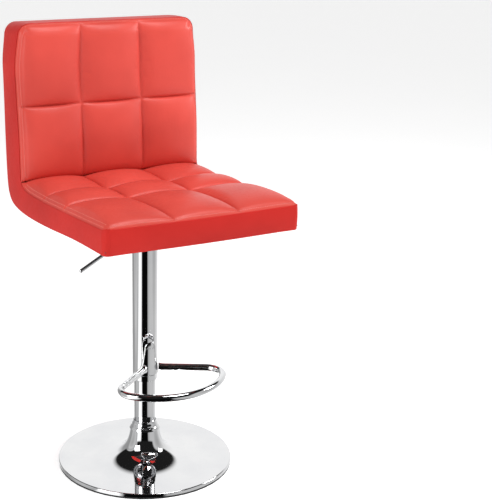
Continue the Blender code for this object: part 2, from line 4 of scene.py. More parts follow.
import bmesh
import bpy
import numpy as np
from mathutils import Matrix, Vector


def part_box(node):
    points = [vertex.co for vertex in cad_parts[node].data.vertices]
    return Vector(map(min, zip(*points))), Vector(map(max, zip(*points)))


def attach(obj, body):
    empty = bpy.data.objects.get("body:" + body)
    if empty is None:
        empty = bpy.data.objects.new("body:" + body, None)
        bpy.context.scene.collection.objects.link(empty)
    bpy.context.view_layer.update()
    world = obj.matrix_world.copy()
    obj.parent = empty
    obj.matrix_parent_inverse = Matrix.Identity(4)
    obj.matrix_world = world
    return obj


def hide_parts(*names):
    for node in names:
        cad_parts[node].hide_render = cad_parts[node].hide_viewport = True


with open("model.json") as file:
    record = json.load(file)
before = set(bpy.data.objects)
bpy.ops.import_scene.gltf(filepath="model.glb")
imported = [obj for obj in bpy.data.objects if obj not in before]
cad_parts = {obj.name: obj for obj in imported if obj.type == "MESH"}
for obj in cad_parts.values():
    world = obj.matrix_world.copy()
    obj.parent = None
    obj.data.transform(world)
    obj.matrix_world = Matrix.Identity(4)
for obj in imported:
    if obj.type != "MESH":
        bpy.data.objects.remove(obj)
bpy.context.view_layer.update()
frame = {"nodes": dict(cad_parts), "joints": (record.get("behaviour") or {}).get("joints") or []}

# ---- Trumpet base -------------------------------------------------------------------------------
# One disc of sheet steel, spun over a former into a trumpet with a rolled rim, then polished and
# chrome plated. It slips over the hub, and the column clamps it down through the collar.


def grid_faces(rows, columns, close_rows=False, close_columns=False):
    """Quads between the neighbours of a rows x columns grid of points, which may close either way round."""
    row = np.arange(rows if close_rows else rows - 1)
    column = np.arange(columns if close_columns else columns - 1)
    row, column = (part.ravel() for part in np.meshgrid(row, column, indexing="ij"))
    next_row, next_column = (row + 1) % rows, (column + 1) % columns
    corners = [
        row * columns + column,
        row * columns + next_column,
        next_row * columns + next_column,
        next_row * columns + column,
    ]
    return np.stack(corners, axis=1)


def make_piece(name, points, faces, look, body, slot, stands_for=(), crease=40):
    """Puts computed points and faces into a closed mesh, faces outwards, that rides on a body."""
    mesh = bpy.data.meshes.new(name)
    mesh.from_pydata(np.asarray(points).reshape(-1, 3).tolist(), [], faces)
    shape = bmesh.new()
    shape.from_mesh(mesh)
    bmesh.ops.remove_doubles(shape, verts=shape.verts, dist=1e-6)
    bmesh.ops.recalc_face_normals(shape, faces=shape.faces)
    shape.to_mesh(mesh)
    shape.free()
    mesh.shade_smooth()
    mesh.set_sharp_from_angle(angle=math.radians(crease))
    mesh.materials.append(look)
    made = bpy.data.objects.new(name, mesh)
    bpy.context.scene.collection.objects.link(made)
    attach(made, body)
    if stands_for:
        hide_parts(*stands_for)
    return made


def spun(profile, sides=160):
    """Carries a closed outline of (radius, height) round the Z axis: x = r cos a, y = r sin a, z = z."""
    radius, height = np.asarray(profile, float).T
    angle = np.linspace(0, 2 * np.pi, sides, endpoint=False)
    x = np.outer(np.cos(angle), radius)
    y = np.outer(np.sin(angle), radius)
    points = np.stack([x, y, np.broadcast_to(height, x.shape)], axis=-1)
    return points, grid_faces(sides, len(radius), True, True).tolist()


def round_over(centre, radius, start, end, count=8):
    """Points on a circle from one angle to another, in degrees: centre + radius (cos a, sin a)."""
    angle = np.radians(np.linspace(start, end, count))
    return np.stack([centre[0] + radius * np.cos(angle), centre[1] + radius * np.sin(angle)], axis=1)


def noise_node(nodes, links, where, scale, detail=3.0):
    """A noise pattern read from a coordinate output, for variation over a surface."""
    pattern = nodes.new("ShaderNodeTexNoise")
    pattern.inputs["Scale"].default_value = scale
    pattern.inputs["Detail"].default_value = detail
    links.new(where, pattern.inputs["Vector"])
    return pattern.outputs["Fac"]


def spread(nodes, links, source, low, high, from_low=0.3, from_high=0.7):
    """Maps a pattern's middle range onto low to high."""
    mapped = nodes.new("ShaderNodeMapRange")
    mapped.inputs["From Min"].default_value = from_low
    mapped.inputs["From Max"].default_value = from_high
    mapped.inputs["To Min"].default_value = low
    mapped.inputs["To Max"].default_value = high
    links.new(source, mapped.inputs["Value"])
    return mapped.outputs["Result"]


def blank(name, colour, metallic=0.0, roughness=0.5):
    """A material with its one shader, and the node lists and coordinates that patterns need."""
    made = bpy.data.materials.new(name)
    made.use_nodes = True
    nodes, links = made.node_tree.nodes, made.node_tree.links
    shader = nodes["Principled BSDF"]
    shader.inputs["Base Color"].default_value = (*colour, 1.0)
    shader.inputs["Metallic"].default_value = metallic
    shader.inputs["Roughness"].default_value = roughness
    where = nodes.new("ShaderNodeTexCoord").outputs["Object"]
    return made, nodes, links, shader, where


def bump_from(nodes, links, shader, height, strength, depth):
    """Raises a pattern on a shader's surface, up to a depth in metres."""
    bump = nodes.new("ShaderNodeBump")
    bump.inputs["Strength"].default_value = strength
    bump.inputs["Distance"].default_value = depth
    links.new(height, bump.inputs["Height"])
    links.new(bump.outputs["Normal"], shader.inputs["Normal"])


def two_tone(nodes, links, shader, factor, first, second):
    """Mixes two colours by a pattern and gives the result to the shader's colour."""
    mix = nodes.new("ShaderNodeMix")
    mix.data_type = "RGBA"
    mix.inputs[6].default_value = (*first, 1.0)
    mix.inputs[7].default_value = (*second, 1.0)
    links.new(factor, mix.inputs[0])
    links.new(mix.outputs[2], shader.inputs["Base Color"])


def chrome_plate(name, scratch_stretch):
    """Bright chrome: a mirror with a little haze where it was handled, and hairlines from polishing."""
    made, nodes, links, shader, where = blank(name, (0.83, 0.835, 0.845), 1.0, 0.05)
    haze = noise_node(nodes, links, where, 14.0, 4.0)
    links.new(spread(nodes, links, haze, 0.030, 0.075), shader.inputs["Roughness"])
    cloud = spread(nodes, links, haze, 0.0, 1.0)
    two_tone(nodes, links, shader, cloud, (0.80, 0.805, 0.82), (0.87, 0.872, 0.875))
    stretch = nodes.new("ShaderNodeMapping")
    stretch.inputs["Scale"].default_value = scratch_stretch
    links.new(where, stretch.inputs["Vector"])
    hairline = noise_node(nodes, links, stretch.outputs["Vector"], 400.0, 2.0)
    bump_from(nodes, links, shader, hairline, 0.04, 0.00003)
    return made


spun_chrome = chrome_plate("spun_chrome", (1.0, 1.0, 6.0))
drawn_chrome = chrome_plate("drawn_chrome", (4.0, 4.0, 0.15))

base_low, base_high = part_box("base_shell")
rim_radius = base_high.x
neck_top = base_high.z
neck_radius = 0.0315
flare_floor = 0.0080
flare_pole = 0.0229
steel_gauge = 0.0015


def flare(radius):
    """The trumpet's curve: height above its floor falls as one over the distance from the pole radius."""
    climb = (neck_top - flare_floor) * (neck_radius - flare_pole)
    return flare_floor + climb / (radius - flare_pole)


rim_round = 0.0024
share = np.linspace(0, 1, 72)
flare_radius = neck_radius + (rim_radius - rim_round - neck_radius) * share**2.4
flare_top = np.stack([flare_radius, flare(flare_radius)], axis=1)
rim_centre = (rim_radius - rim_round, flare_top[-1, 1] - rim_round)
rim_edge = round_over(rim_centre, rim_round, 86, 0)
rim_foot = np.array([[rim_radius, base_low.z + 0.0004], [rim_radius - 0.0004, base_low.z]])
inner_foot = np.array([[rim_radius - steel_gauge, base_low.z], [rim_radius - steel_gauge, rim_centre[1]]])
flare_under = np.stack([flare_radius - steel_gauge * 0.6, flare_top[:, 1] - steel_gauge], axis=1)[::-1]
flare_under[-1] = (neck_radius - steel_gauge, neck_top)
base_outline = np.concatenate([flare_top, rim_edge, rim_foot, inner_foot, flare_under])
make_piece("trumpet_base", *spun(base_outline, 288), spun_chrome, "base", "chrome", ["base_shell"], 30)

# ---- Floor ring, weight and hub ------------------------------------------------------------------
# A soft black rubber ring under the rim, a cast iron ring that keeps the stool down, and the turned
# steel hub that the standpipe is pressed into.


def mottled(name, metallic, tones, grain, roughness, relief, fine_grain=None):
    """One noise varies colour and roughness, and it or a finer one raises the surface. A grain is the
    noise's scale and detail, and relief the bump's strength and depth."""
    made, nodes, links, shader, where = blank(name, tones[1], metallic)
    mottle = noise_node(nodes, links, where, *grain)
    two_tone(nodes, links, shader, mottle, *tones)
    links.new(spread(nodes, links, mottle, *roughness), shader.inputs["Roughness"])
    raised = noise_node(nodes, links, where, *fine_grain) if fine_grain else mottle
    bump_from(nodes, links, shader, raised, *relief)
    return made


def finish_nodes(finish, *names):
    """Gives a finish to CAD nodes that keep their shape."""
    for name in names:
        frame["nodes"][name].material_slots[0].material = finish


rubber_tones = (0.012, 0.012, 0.013), (0.030, 0.030, 0.031)
ring_rubber = mottled("ring_rubber", 0.0, rubber_tones, (700.0,), (0.62, 0.85), (0.3, 0.0001))
finish_nodes(ring_rubber, "floor_ring")

iron_tones = (0.05, 0.049, 0.047), (0.14, 0.135, 0.13)
sand_casting = mottled("sand_casting", 0.6, iron_tones, (260.0, 6.0), (0.55, 0.85), (0.6, 0.0004))
finish_nodes(sand_casting, "base_weight")


def zinc_plate(name, tint):
    """Bright zinc over steel: a soft spangle, with fine turning lines round the piece."""
    made, nodes, links, shader, where = blank(name, tint, 1.0, 0.3)
    spangle = noise_node(nodes, links, where, 120.0, 4.0)
    dark = tuple(channel * 0.82 for channel in tint)
    two_tone(nodes, links, shader, spangle, dark, tint)
    links.new(spread(nodes, links, spangle, 0.22, 0.40), shader.inputs["Roughness"])
    rings = nodes.new("ShaderNodeTexWave")
    rings.wave_type = "RINGS"
    rings.rings_direction = "Z"
    rings.inputs["Scale"].default_value = 900.0
    rings.inputs["Distortion"].default_value = 0.6
    links.new(where, rings.inputs["Vector"])
    bump_from(nodes, links, shader, rings.outputs["Fac"], 0.08, 0.00004)
    return made


zinc = zinc_plate("zinc_plate", (0.60, 0.61, 0.63))
finish_nodes(zinc, "base_hub", "cylinder_socket", "rod_clip")
finish_nodes(zinc, "bearing_lower_race", "ball_cage", "bearing_upper_race")

# ---- Collar -------------------------------------------------------------------------------------
# A pressed and chromed ring that slides down the standpipe and hides the joint with the base. Two
# shallow beads are rolled into its flare.

collar_low, collar_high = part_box("base_collar")
pipe_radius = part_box("standpipe")[1].x
collar_height = collar_high.z - collar_low.z
down = np.linspace(0, 1, 40)
bell = pipe_radius + 0.0016 + (collar_high.x - pipe_radius - 0.0016) * down**1.25
beads = 0.0007 * (np.cos(2 * np.pi * 2.5 * down) - 1) / 2 * np.sin(np.pi * down)
collar_outside = np.stack([bell + beads, collar_high.z - collar_height * down], axis=1)
collar_inside = np.array([
    [neck_radius + 0.0009, collar_low.z],
    [neck_radius + 0.0009, neck_top + 0.0003],
    [pipe_radius + 0.0003, neck_top + 0.0030],
    [pipe_radius + 0.0003, collar_high.z],
    [pipe_radius + 0.0009, collar_high.z + 0.0006],
])
collar_outline = np.concatenate([collar_outside, collar_inside])
make_piece("collar", *spun(collar_outline), spun_chrome, "base", "chrome", ["base_collar"], 50)

# ---- Standpipe and cover tube --------------------------------------------------------------------
# Two lengths of drawn tube, plated after polishing. The thin one stands in the base and the wide one
# hangs from the seat and slides over it, with a nylon bush between them at its rolled lower end.


def tube_outline(radius, wall, low, high, roll):
    """A tube's wall with both outer edges rounded by the roll radius."""
    top = round_over((radius - roll, high - roll), roll, 90, 0, 5)
    foot = round_over((radius - roll, low + roll), roll, 0, -90, 5)
    bore = np.array([[radius - wall, low], [radius - wall, high]])
    return np.concatenate([top, foot, bore])


pipe_low, pipe_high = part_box("standpipe")
pipe_outline = tube_outline(pipe_radius, 0.0015, pipe_low.z, pipe_high.z, 0.0004)
make_piece("lower_tube", *spun(pipe_outline, 128), drawn_chrome, "base", "chrome", ["standpipe"])

cover_low, cover_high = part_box("cover_tube")
cover_radius = cover_high.x
cover_outline = tube_outline(cover_radius, 0.0012, cover_low.z, cover_high.z, 0.0010)
make_piece("upper_tube", *spun(cover_outline, 128), drawn_chrome, "seat", "chrome", ["cover_tube"])

nylon_tones = (0.70, 0.69, 0.63), (0.83, 0.82, 0.78)
natural_nylon = mottled(
    "natural_nylon", 0.0, nylon_tones, (90.0,), (0.42, 0.60), (0.15, 0.00005), (1200.0,)
)
finish_nodes(natural_nylon, "guide_bush")

# ---- Gas lift -----------------------------------------------------------------------------------
# The cylinder is sealed tube in black powder coat. Its ground piston rod reaches down to the thrust
# bearing in the foot of the standpipe, so that seat, cylinder and rod all turn together.

coat_tones = (0.014, 0.014, 0.015), (0.034, 0.034, 0.036)
powder_coat = mottled(
    "powder_coat", 0.0, coat_tones, (30.0, 4.0), (0.34, 0.52), (0.25, 0.00012), (900.0, 2.0)
)
finish_nodes(powder_coat, "gas_cylinder", "seat_plate")

steel_tones = (0.58, 0.59, 0.61), (0.70, 0.71, 0.73)
ground_steel = mottled("ground_steel", 1.0, steel_tones, (300.0,), (0.10, 0.22), (0.05, 0.00002))
finish_nodes(ground_steel, "piston_rod", "valve_button")

seal_tones = (0.020, 0.020, 0.021), (0.045, 0.045, 0.046)
seal_plastic = mottled("seal_plastic", 0.0, seal_tones, (400.0,), (0.40, 0.60), (0.15, 0.00005))
finish_nodes(seal_plastic, "piston", "cylinder_gland", "cover_bush")

# ---- Footrest saddle -----------------------------------------------------------------------------
# A tongue of plate, pressed to the curve of the cover tube and welded on over its edge, so that it
# swells out of the tube and widens downwards to carry the hoop. Plated with the tube.

saddle_low, saddle_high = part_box("footrest_saddle")
saddle_height = saddle_high.z - saddle_low.z
saddle_swell = 0.0034


def grid_border(rows, columns):
    """The point numbers round the edge of a grid, in order."""
    index = np.arange(rows * columns).reshape(rows, columns)
    return np.concatenate([index[0, :-1], index[:-1, -1], index[-1, :0:-1], index[:0:-1, 0]])


def shell_between(outer, inner):
    """Closes two grids of the same size, one over the other, with a strip of quads round their edges."""
    rows, columns = outer.shape[:2]
    border = grid_border(rows, columns)
    beside = np.roll(border, -1)
    under = rows * columns
    strip = np.stack([border, beside, beside + under, border + under], axis=1)
    sheet = grid_faces(rows, columns)
    faces = np.concatenate([sheet, sheet[:, ::-1] + under, strip])
    return np.concatenate([outer.reshape(-1, 3), inner.reshape(-1, 3)]), faces.tolist()


up, across = np.meshgrid(np.linspace(0, 1, 60), np.linspace(-1, 1, 60), indexing="ij")
tongue = 0.46 + 0.60 * (1 - up) ** 1.5
tip_round = np.sqrt(np.clip(1 - np.clip((up - 0.84) / 0.16, 0, 1) ** 2, 0, 1))
toe_round = np.sqrt(np.clip(1 - np.clip((0.05 - up) / 0.06, 0, 1) ** 2, 0, 1))
turn = across * tongue * tip_round * toe_round
tip_fall = np.clip((1 - up) / 0.16, 0, 1) ** 0.7
toe_fall = np.clip(up / 0.03, 0, 1) ** 0.5
edge_fall = (1 - np.abs(across) ** 7) ** 0.5 * tip_fall * toe_fall
swell = cover_radius + 0.0001 + saddle_swell * edge_fall
saddle_z = saddle_low.z + saddle_height * up
outer = np.stack([swell * np.sin(turn), -swell * np.cos(turn), saddle_z], axis=-1)
buried = cover_radius - 0.0004
inner = np.stack([buried * np.sin(turn), -buried * np.cos(turn), saddle_z], axis=-1)
make_piece("saddle", *shell_between(outer, inner), drawn_chrome, "seat", "chrome", ["footrest_saddle"], 60)

# ---- Footrest hoop -------------------------------------------------------------------------------
# Sixteen millimetre tube, bent cold into two straight arms, two corners and a broad front curve, then
# welded into the sides of the saddle and plated.


def carried(sections, closed=False):
    """Joins closed cross-sections, one for each station of a path, and caps both ends with fans."""
    stations, loop = sections.shape[:2]
    faces = grid_faces(stations, loop, closed, True).tolist()
    points = sections.reshape(-1, 3)
    if not closed:
        middles = sections[[0, -1]].mean(axis=1)
        ring = np.arange(loop)
        beside = np.roll(ring, -1)
        first = np.stack([ring, beside, np.full(loop, len(points))], axis=1)
        last_start = (stations - 1) * loop
        last = np.stack([beside + last_start, ring + last_start, np.full(loop, len(points) + 1)], axis=1)
        faces += first.tolist() + last.tolist()
        points = np.concatenate([points, middles])
    return points, faces


def round_bar(path, radii, sides=28, up=(0.0, 0.0, 1.0)):
    """Circles of the given radii, square to a path: centre + r (cos a side + sin a lift)."""
    ahead = np.gradient(path, axis=0)
    ahead /= np.linalg.norm(ahead, axis=1, keepdims=True)
    side = np.cross(ahead, np.asarray(up))
    side /= np.linalg.norm(side, axis=1, keepdims=True)
    lift = np.cross(side, ahead)
    angle = np.linspace(0, 2 * np.pi, sides, endpoint=False)
    ring = np.cos(angle)[:, None] * side[:, None] + np.sin(angle)[:, None] * lift[:, None]
    return path[:, None] + np.broadcast_to(radii, len(path))[:, None, None] * ring


hoop_low, hoop_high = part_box("footrest_loop")
hoop_tube = (hoop_high.z - hoop_low.z) / 2
hoop_z = (hoop_high.z + hoop_low.z) / 2
hoop_reach = 0.1930
front_radius = 0.1425
corner_radius = 0.0375
arm_angle = math.radians(34)
hoop_turn = math.radians(4)
arm_start = np.array([0.0190, -0.0267])

ahead = np.array([math.cos(arm_angle), -math.sin(arm_angle)])
inward = np.array([-math.sin(arm_angle), -math.cos(arm_angle)])
front_centre = np.array([0.0, front_radius - hoop_reach])
offset = arm_start + inward * corner_radius - front_centre
along = offset @ ahead
arm_length = -along + math.sqrt(along**2 - offset @ offset + (front_radius - corner_radius) ** 2)
corner_centre = arm_start + ahead * arm_length + inward * corner_radius
leave = math.degrees(math.atan2(-inward[1], -inward[0]))
spoke = corner_centre - front_centre
meet = math.degrees(math.atan2(spoke[1], spoke[0]))
arm = arm_start + ahead * (arm_length * np.linspace(0, 1, 16)[:-1, None])
corner = round_over(corner_centre, corner_radius, leave, meet, 28)
front = round_over(front_centre, front_radius, meet, -90, 44)[1:]
half = np.concatenate([arm, corner, front])
flat_path = np.concatenate([half, half[-2::-1] * (-1, 1)])
cos_turn, sin_turn = math.cos(hoop_turn), math.sin(hoop_turn)
turned_path = flat_path @ np.array([[cos_turn, sin_turn], [-sin_turn, cos_turn]])
hoop_path = np.column_stack([turned_path, np.full(len(turned_path), hoop_z)])
weld = np.ones(len(hoop_path))
weld[[0, -1]] = 1.22
weld[[1, -2]] = 1.05
hoop_sections = round_bar(hoop_path, hoop_tube * weld)
make_piece("hoop", *carried(hoop_sections), drawn_chrome, "seat", "chrome", ["footrest_loop"])

# ---- Release lever -------------------------------------------------------------------------------
# Eight millimetre rod with a bend outside the bracket and a rounded tip, chrome plated. Pulled up, it
# rocks on its pin and its inner end presses the button of the gas lift.

lever_pivot = np.array(next(j["pos_m"] for j in frame["joints"] if j["name"] == "lever_pull"))
lever_radius = 0.0040
outward = lever_pivot * (1, 1, 0) / np.linalg.norm(lever_pivot[:2])


def smooth_curve(knots, per_span=12):
    """A Catmull-Rom curve through the knots: each span blends its four nearest knots by cubics."""
    knots = np.asarray(knots, float)
    padded = np.concatenate([[2 * knots[0] - knots[1]], knots, [2 * knots[-1] - knots[-2]]])
    t = np.linspace(0, 1, per_span, endpoint=False)[None, :, None]
    before, here, there, after = (padded[i : len(padded) - 3 + i][:, None] for i in range(4))
    span = 2 * here + (there - before) * t
    span = span + (2 * before - 5 * here + 4 * there - after) * t**2
    span = span + (3 * here - before - 3 * there + after) * t**3
    return np.concatenate([span.reshape(-1, knots.shape[1]) / 2, knots[-1:]])


reach_and_drop = [
    (-0.0360, 0.0), (-0.0100, 0.0), (0.0160, 0.0), (0.0310, -0.0006), (0.0420, -0.0032), (0.0540, -0.0085),
    (0.0660, -0.0148), (0.0780, -0.0214), (0.0880, -0.0267), (0.0980, -0.0312), (0.1100, -0.0345),
    (0.1300, -0.0387), (0.1550, -0.0440), (0.1850, -0.0504),
]
reach, drop = smooth_curve(reach_and_drop, 6).T
lever_path = lever_pivot + reach[:, None] * outward + drop[:, None] * (0, 0, 1)
last_step = lever_path[-1] - lever_path[-2]
last_step /= np.linalg.norm(last_step)
tip_angle = np.radians(np.linspace(10, 89, 9))
tip = lever_path[-1] + np.sin(tip_angle)[:, None] * lever_radius * last_step
lever_path = np.concatenate([lever_path, tip])
lever_radii = np.concatenate([np.full(len(reach), lever_radius), lever_radius * np.cos(tip_angle)])
lever_sections = round_bar(lever_path, lever_radii, 24)
make_piece("release_lever", *carried(lever_sections), drawn_chrome, "lever", "chrome", ["lever_rod"], 50)

# ---- Seat plate fasteners ------------------------------------------------------------------------
# Four bolts with washers screw up into tee nuts that are knocked into the plywood. They and the
# lever's bracket and pin are zinc plated.

fastener_kinds = ("seat_bolt", "bolt_washer", "tee_nut")
fasteners = [f"{kind}_{number}" for kind in fastener_kinds for number in range(1, 5)]
finish_nodes(zinc, *fasteners, "lever_bracket", "lever_pivot_pin")

# ---- Seat outline --------------------------------------------------------------------------------
# The seat is one L in side view. Each rib below joins a point of its outer line, under the seat and
# up the back, to the point of the seam line that faces it, where the side panels meet the padding.

half_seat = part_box("side_cover_right")[1].x
top_corner = 0.0240
outer_top = 0.9530
seam_top = 0.9552
outer_knots = np.array([
    (-0.2610, 0.5712), (-0.2350, 0.5718), (-0.1200, 0.5690), (0.0000, 0.5612), (0.0800, 0.5578),
    (0.1400, 0.5580), (0.1850, 0.5620), (0.2160, 0.5712), (0.2320, 0.5880), (0.2385, 0.6110),
    (0.2415, 0.6450), (0.2440, 0.7150), (0.2448, 0.7900), (0.2465, 0.8550), (0.2495, 0.9050),
    (0.2505, outer_top - top_corner),
])
seam_knots = np.array([
    (-0.2610, 0.6240), (-0.2350, 0.6205), (-0.1200, 0.6150), (0.0100, 0.6094), (0.0850, 0.6082),
    (0.1300, 0.6100), (0.1500, 0.6160), (0.1590, 0.6235), (0.1615, 0.6330), (0.1620, 0.6500),
    (0.1628, 0.6800), (0.1645, 0.7250), (0.1712, 0.7900), (0.1758, 0.8500), (0.1758, 0.9050),
    (0.1740, seam_top - top_corner),
])
outer_line = smooth_curve(outer_knots)
seam_line = smooth_curve(seam_knots)
crease_at = int(np.argmin(np.hypot(seam_line[:, 0] - 0.1590, seam_line[:, 1] - 0.6235)))


def half_width(height):
    """Half the seat's width: full up to the shoulders, then 9 mm less by the top, on a smooth step."""
    t = np.clip((height - 0.860) / 0.095, 0, 1)
    return half_seat - 0.009 * t * t * (3 - 2 * t)


# ---- Leather ------------------------------------------------------------------------------------
# Red coated upholstery fabric with a fine pressed grain. It has a satin gloss, is a shade deeper in
# the pores of the grain, and varies a little in colour and shine where it is stretched. It is made as
# two copies of one leather. The copy on the pillows has a lighter, more orange base colour, which is
# painted sheen and painted light. The copy on the bands and panels has a darker base colour, which is
# painted shade.


def red_leather(name, tint, shine):
    made, nodes, links, shader, where = blank(name, tint, 0.0, 0.4)
    pores = nodes.new("ShaderNodeTexVoronoi")
    pores.inputs["Scale"].default_value = 950.0
    links.new(where, pores.inputs["Vector"])
    stretch = noise_node(nodes, links, where, 9.0, 2.0)
    fine = noise_node(nodes, links, where, 160.0, 4.0)
    deep = tuple(channel * 0.90 for channel in tint)
    light = (min(1.0, tint[0] * 1.05), tint[1] * 1.12, tint[2] * 1.12)
    two_tone(nodes, links, shader, spread(nodes, links, stretch, 0.0, 1.0), deep, light)
    links.new(spread(nodes, links, fine, 0.36, 0.46), shader.inputs["Roughness"])
    shader.inputs["Specular IOR Level"].default_value = shine
    shader.inputs["Coat Weight"].default_value = 0.05
    shader.inputs["Coat Roughness"].default_value = 0.35
    relief = nodes.new("ShaderNodeMath")
    relief.operation = "MULTIPLY_ADD"
    relief.inputs[1].default_value = 0.5
    links.new(pores.outputs["Distance"], relief.inputs[0])
    links.new(spread(nodes, links, fine, 0.0, 0.4), relief.inputs[2])
    bump_from(nodes, links, shader, relief.outputs[0], 0.35, 0.00018)
    return made


# This copy's darker base colour is painted shade on the bands and panels.
shaded_flat_leather = red_leather("shaded_flat_leather", (0.580, 0.023, 0.018), 0.10)
# This copy's lighter, more orange base colour is painted sheen and painted light on the pillows.
lit_pad_leather = red_leather("lit_pad_leather", (0.680, 0.070, 0.052), 0.28)

# ---- Side panels ---------------------------------------------------------------------------------
# A flat panel of leather over thin foam on each side. It turns round the front corner of the seat and
# over the top corner of the back, where short seams join it to the front band and the top band.

front_corner = 0.0120
front_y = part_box("seat_cover")[0].y
panel_depth = 0.0030


def around_corners(flat_y, flat_z, out):
    """Puts a developed side panel onto the seat: past the front it turns on the vertical corner's radius,
    and past the top it turns on the top corner's radius, with out measured along the turned normal."""
    width = half_width(np.minimum(flat_z, outer_top))
    start_y = front_y + front_corner
    yaw = np.clip((start_y - flat_y) / front_corner, 0, np.pi / 2)
    rise = np.clip((flat_y - 0.1740) / 0.0765, 0, 1)
    start_z = seam_top + (outer_top - seam_top) * rise - top_corner
    roll = np.clip((flat_z - start_z) / top_corner, 0, np.pi / 2)
    x = width - front_corner * (1 - np.cos(yaw)) - top_corner * (1 - np.cos(roll))
    x = x + out * np.cos(yaw) * np.cos(roll)
    y = np.where(yaw > 0, start_y - (front_corner + out) * np.sin(yaw), flat_y)
    z = np.where(roll > 0, start_z + (top_corner + out) * np.sin(roll), flat_z)
    return np.stack([x, y, z], axis=-1)


corner_run = front_corner * (np.pi / 2 - 1)
top_run = top_corner * np.pi / 2
front_lead = np.linspace(corner_run, 0, 8, endpoint=False)[:, None]
top_lead = np.linspace(0, top_run, 13)[1:, None]


def with_leads(line):
    """A line of the side view, run on forwards and upwards to cover both turned corners."""
    return np.concatenate([line[0] - front_lead * (1, 0), line, line[-1] + top_lead * (0, 1)])


outer_flat = with_leads(outer_line)
seam_flat = with_leads(seam_line)

edge = 0.0026
crown = 0.0012
border = np.sin(np.radians(np.linspace(0, 90, 7)))
middle = np.linspace(0, 1, 17)[1:-1]
run = np.linalg.norm(outer_flat - seam_flat, axis=1)[:, None]
near = edge * (1 - border) / run
share = np.concatenate([near, near[:, -1:] + (1 - 2 * near[:, -1:]) * middle, 1 - near[:, ::-1]], axis=1)
face_height = panel_depth + crown * 4 * middle * (1 - middle)
height = np.concatenate([panel_depth * border, face_height, panel_depth * border[::-1]])
flat = outer_flat[:, None] * (1 - share[..., None]) + seam_flat[:, None] * share[..., None]
flat_y, flat_z = flat[..., 0], flat[..., 1]
panel_outside = around_corners(flat_y, flat_z, np.broadcast_to(height - panel_depth, flat_y.shape))
panel_inside = around_corners(flat_y, flat_z, np.full(flat_y.shape, -panel_depth))[:, ::-1]
right_panel = np.concatenate([panel_outside, panel_inside[:, 1:-1]], axis=1)
for hand, side in (("right", 1), ("left", -1)):
    sections = right_panel * (side, 1, 1)
    stands_for = [f"side_cover_{hand}"]
    side_panel = make_piece(
        f"side_panel_{hand}", *carried(sections), shaded_flat_leather, "seat", "red_leather", stands_for, 60
    )

# ---- Front band ---------------------------------------------------------------------------------
# The strip of leather across the front of the seat, sewn to the two side panels. Thin foam behind it
# makes it bow forwards in the middle, and its lower edge is pulled under the board and stapled.

front_bow = 0.0060
band_top = seam_knots[0, 1]
band_foot = outer_knots[0, 1]
band_half = half_seat - front_corner


def bowed_front(x):
    """How far the front stands forward of its corners: the bow times 1 - (x / half width) squared."""
    return front_bow * (1 - np.clip(np.abs(x) / band_half, 0, 1) ** 2)


band_crown = 0.0016
band_tuck = 0.0032
band_x = np.linspace(-band_half, band_half, 97)
face_z = np.linspace(0, 1, 25)
face_out = band_crown * 4 * face_z * (1 - face_z)
face_out -= edge * (1 - np.sqrt(np.clip(1 - np.clip((face_z - 0.945) / 0.055, 0, 1) ** 2, 0, 1)))
face = np.stack([-face_out, band_foot + (band_top - band_foot) * face_z], axis=1)
band_loop = np.concatenate([face, [[0.0040, band_top], [0.0060, band_top - 0.003], [0.0060, band_foot]]])
tuck = np.append(band_tuck * (1 - face_z) ** 3, [0, 0, 0])
tuck_share = 1 - np.abs(band_x / band_half) ** 8
band_sections = np.empty((len(band_x), len(band_loop), 3))
band_sections[..., 0] = band_x[:, None]
band_sections[..., 1] = front_y - bowed_front(band_x)[:, None] + band_loop[:, 0]
band_sections[..., 1] += tuck_share[:, None] * tuck
band_sections[..., 2] = band_loop[:, 1]
front_band = make_piece("front_band", *carried(band_sections), shaded_flat_leather, "seat", "red_leather")

# ---- Top band -----------------------------------------------------------------------------------
# The strip along the top of the back, over the foam's edge, sewn between the turned ends of the side
# panels. It is a little crowned from front to rear.

top_half = half_width(outer_top) - top_corner
top_x = np.linspace(-top_half, top_half, 81)
front_seam_y, rear_edge_y = seam_knots[-1, 0], outer_knots[-1, 0]
over = np.linspace(0, 1, 31)
over_z = seam_top + (outer_top - seam_top) * over + crown * 4 * over * (1 - over)
over_edge = np.minimum(over, 1 - over) * (rear_edge_y - front_seam_y)
over_z -= edge - np.sqrt(edge**2 - np.clip(edge - over_edge, 0, edge) ** 2)
over_y = front_seam_y + (rear_edge_y - front_seam_y) * over
over_line = np.stack([over_y, over_z], axis=1)
top_loop = np.concatenate([over_line, [[rear_edge_y, outer_top - 0.006], [front_seam_y, seam_top - 0.006]]])
top_sections = np.empty((len(top_x), len(top_loop), 3))
top_sections[..., 0] = top_x[:, None]
top_sections[..., 1:] = top_loop
top_band = make_piece("top_band", *carried(top_sections), shaded_flat_leather, "seat", "red_leather")

# ---- Rear panel ---------------------------------------------------------------------------------
# One piece of leather over thin foam, from under the seat round the bend and up the back. It is
# crowned across its width, rounded at the top corners, and sewn to the side panels down its edges.

rear_starts = int(np.argmax(outer_line[:, 0] > 0.105))
rear_line = outer_line[rear_starts:]
roll_angle = np.radians(np.linspace(0, 90, 13))[1:]
corner_z = outer_line[-1, 1] + top_corner * np.sin(roll_angle)
corner_line = np.stack([np.full_like(corner_z, rear_edge_y), corner_z], axis=1)
corner_inset = np.concatenate([np.zeros(len(rear_line)), top_corner * (1 - np.cos(roll_angle))])
rear_line = np.concatenate([rear_line, corner_line])
rear_half = half_width(rear_line[:, 1]) - corner_inset


def line_normals(line):
    """Unit normals of a side-view line, out of the seat: its direction turned a quarter turn."""
    tangent = np.gradient(line, axis=0)
    tangent /= np.linalg.norm(tangent, axis=1, keepdims=True)
    return np.stack([tangent[:, 1], -tangent[:, 0]], axis=1)


outward_normal = line_normals(rear_line)
rear_run = np.concatenate([[0], np.cumsum(np.linalg.norm(np.diff(rear_line, axis=0), axis=1))])
rear_depth = 0.0030


